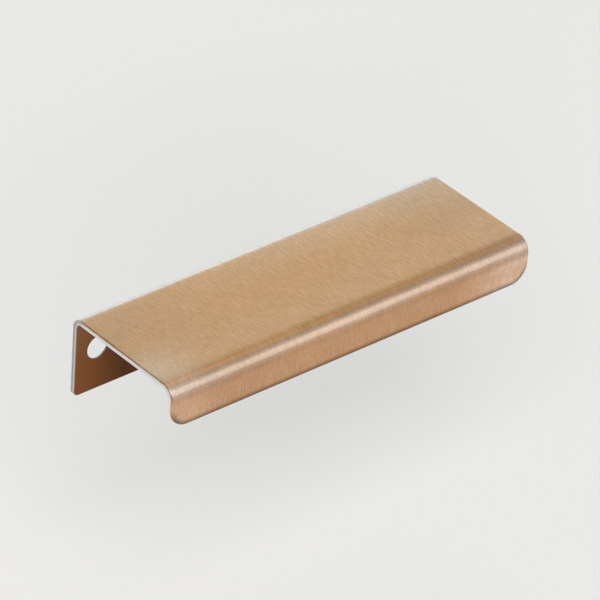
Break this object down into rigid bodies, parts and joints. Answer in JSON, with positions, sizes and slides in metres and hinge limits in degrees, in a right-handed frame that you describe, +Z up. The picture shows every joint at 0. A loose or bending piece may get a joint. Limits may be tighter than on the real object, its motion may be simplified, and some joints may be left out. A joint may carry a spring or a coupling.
{
  "type": "tab pull",
  "caption": "Edge pull folded from brushed sheet metal: a rear flange with countersunk screw holes, a flat top plate and a front finger lip with rounded corners.",
  "frame": {"origin": "midway between the two screw holes, on the face of the flange that meets the back of the door", "axes": "+X along the pull, +Y away from the user, out of the flange's rear face, +Z up"},
  "size_m": [0.109, 0.037, 0.0222],
  "materials": {
    "brushed_sheet": "stainless sheet with a brushed copper-coloured coat on both sides; cut edges bare"
  },
  "bodies": {
    "root": {"folded_plate": "brushed_sheet"}
  },
  "joints": []
}
